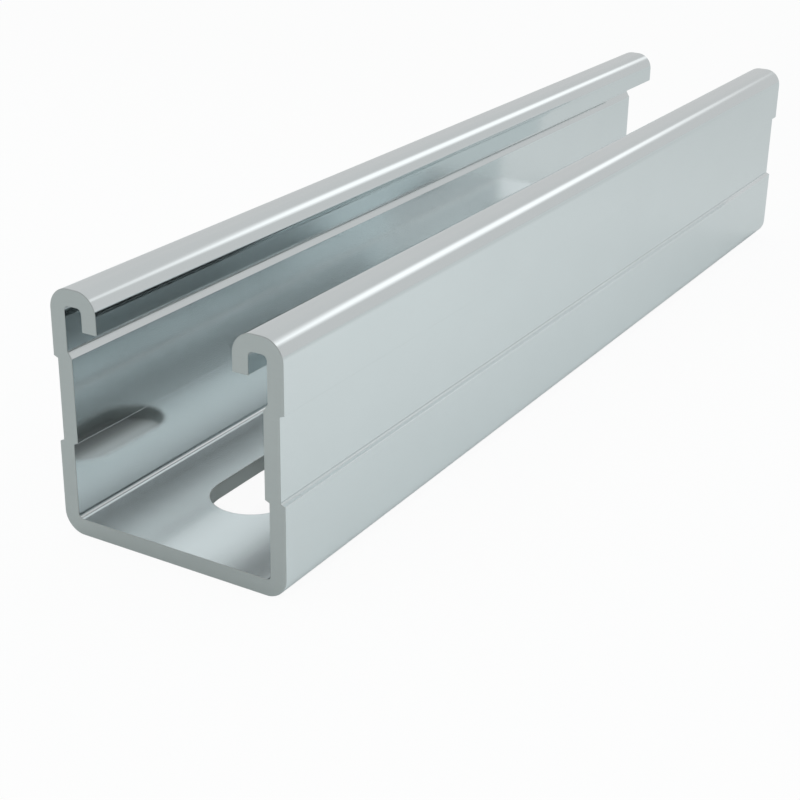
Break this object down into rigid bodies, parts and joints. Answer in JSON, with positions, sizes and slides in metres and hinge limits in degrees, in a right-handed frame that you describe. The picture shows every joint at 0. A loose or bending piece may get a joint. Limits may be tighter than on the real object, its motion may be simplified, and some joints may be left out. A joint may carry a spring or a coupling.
{
  "type": "perforated channel",
  "caption": "Length of rolled steel framing channel with in-turned lips, a shallow pressed band along each side wall and long slots through the web.",
  "frame": {"origin": "on the underside of the web, in the middle of the length and of the width", "axes": "+Y along the channel, +Z from the web towards the mouth, +X across to one side wall; the first slot is nearer the end at -Y"},
  "size_m": [0.041, 0.206, 0.04],
  "materials": {
    "zinc_steel": "bright zinc coating over rolled sheet, cut ends duller"
  },
  "bodies": {
    "root": {"channel": "zinc_steel"}
  },
  "joints": []
}
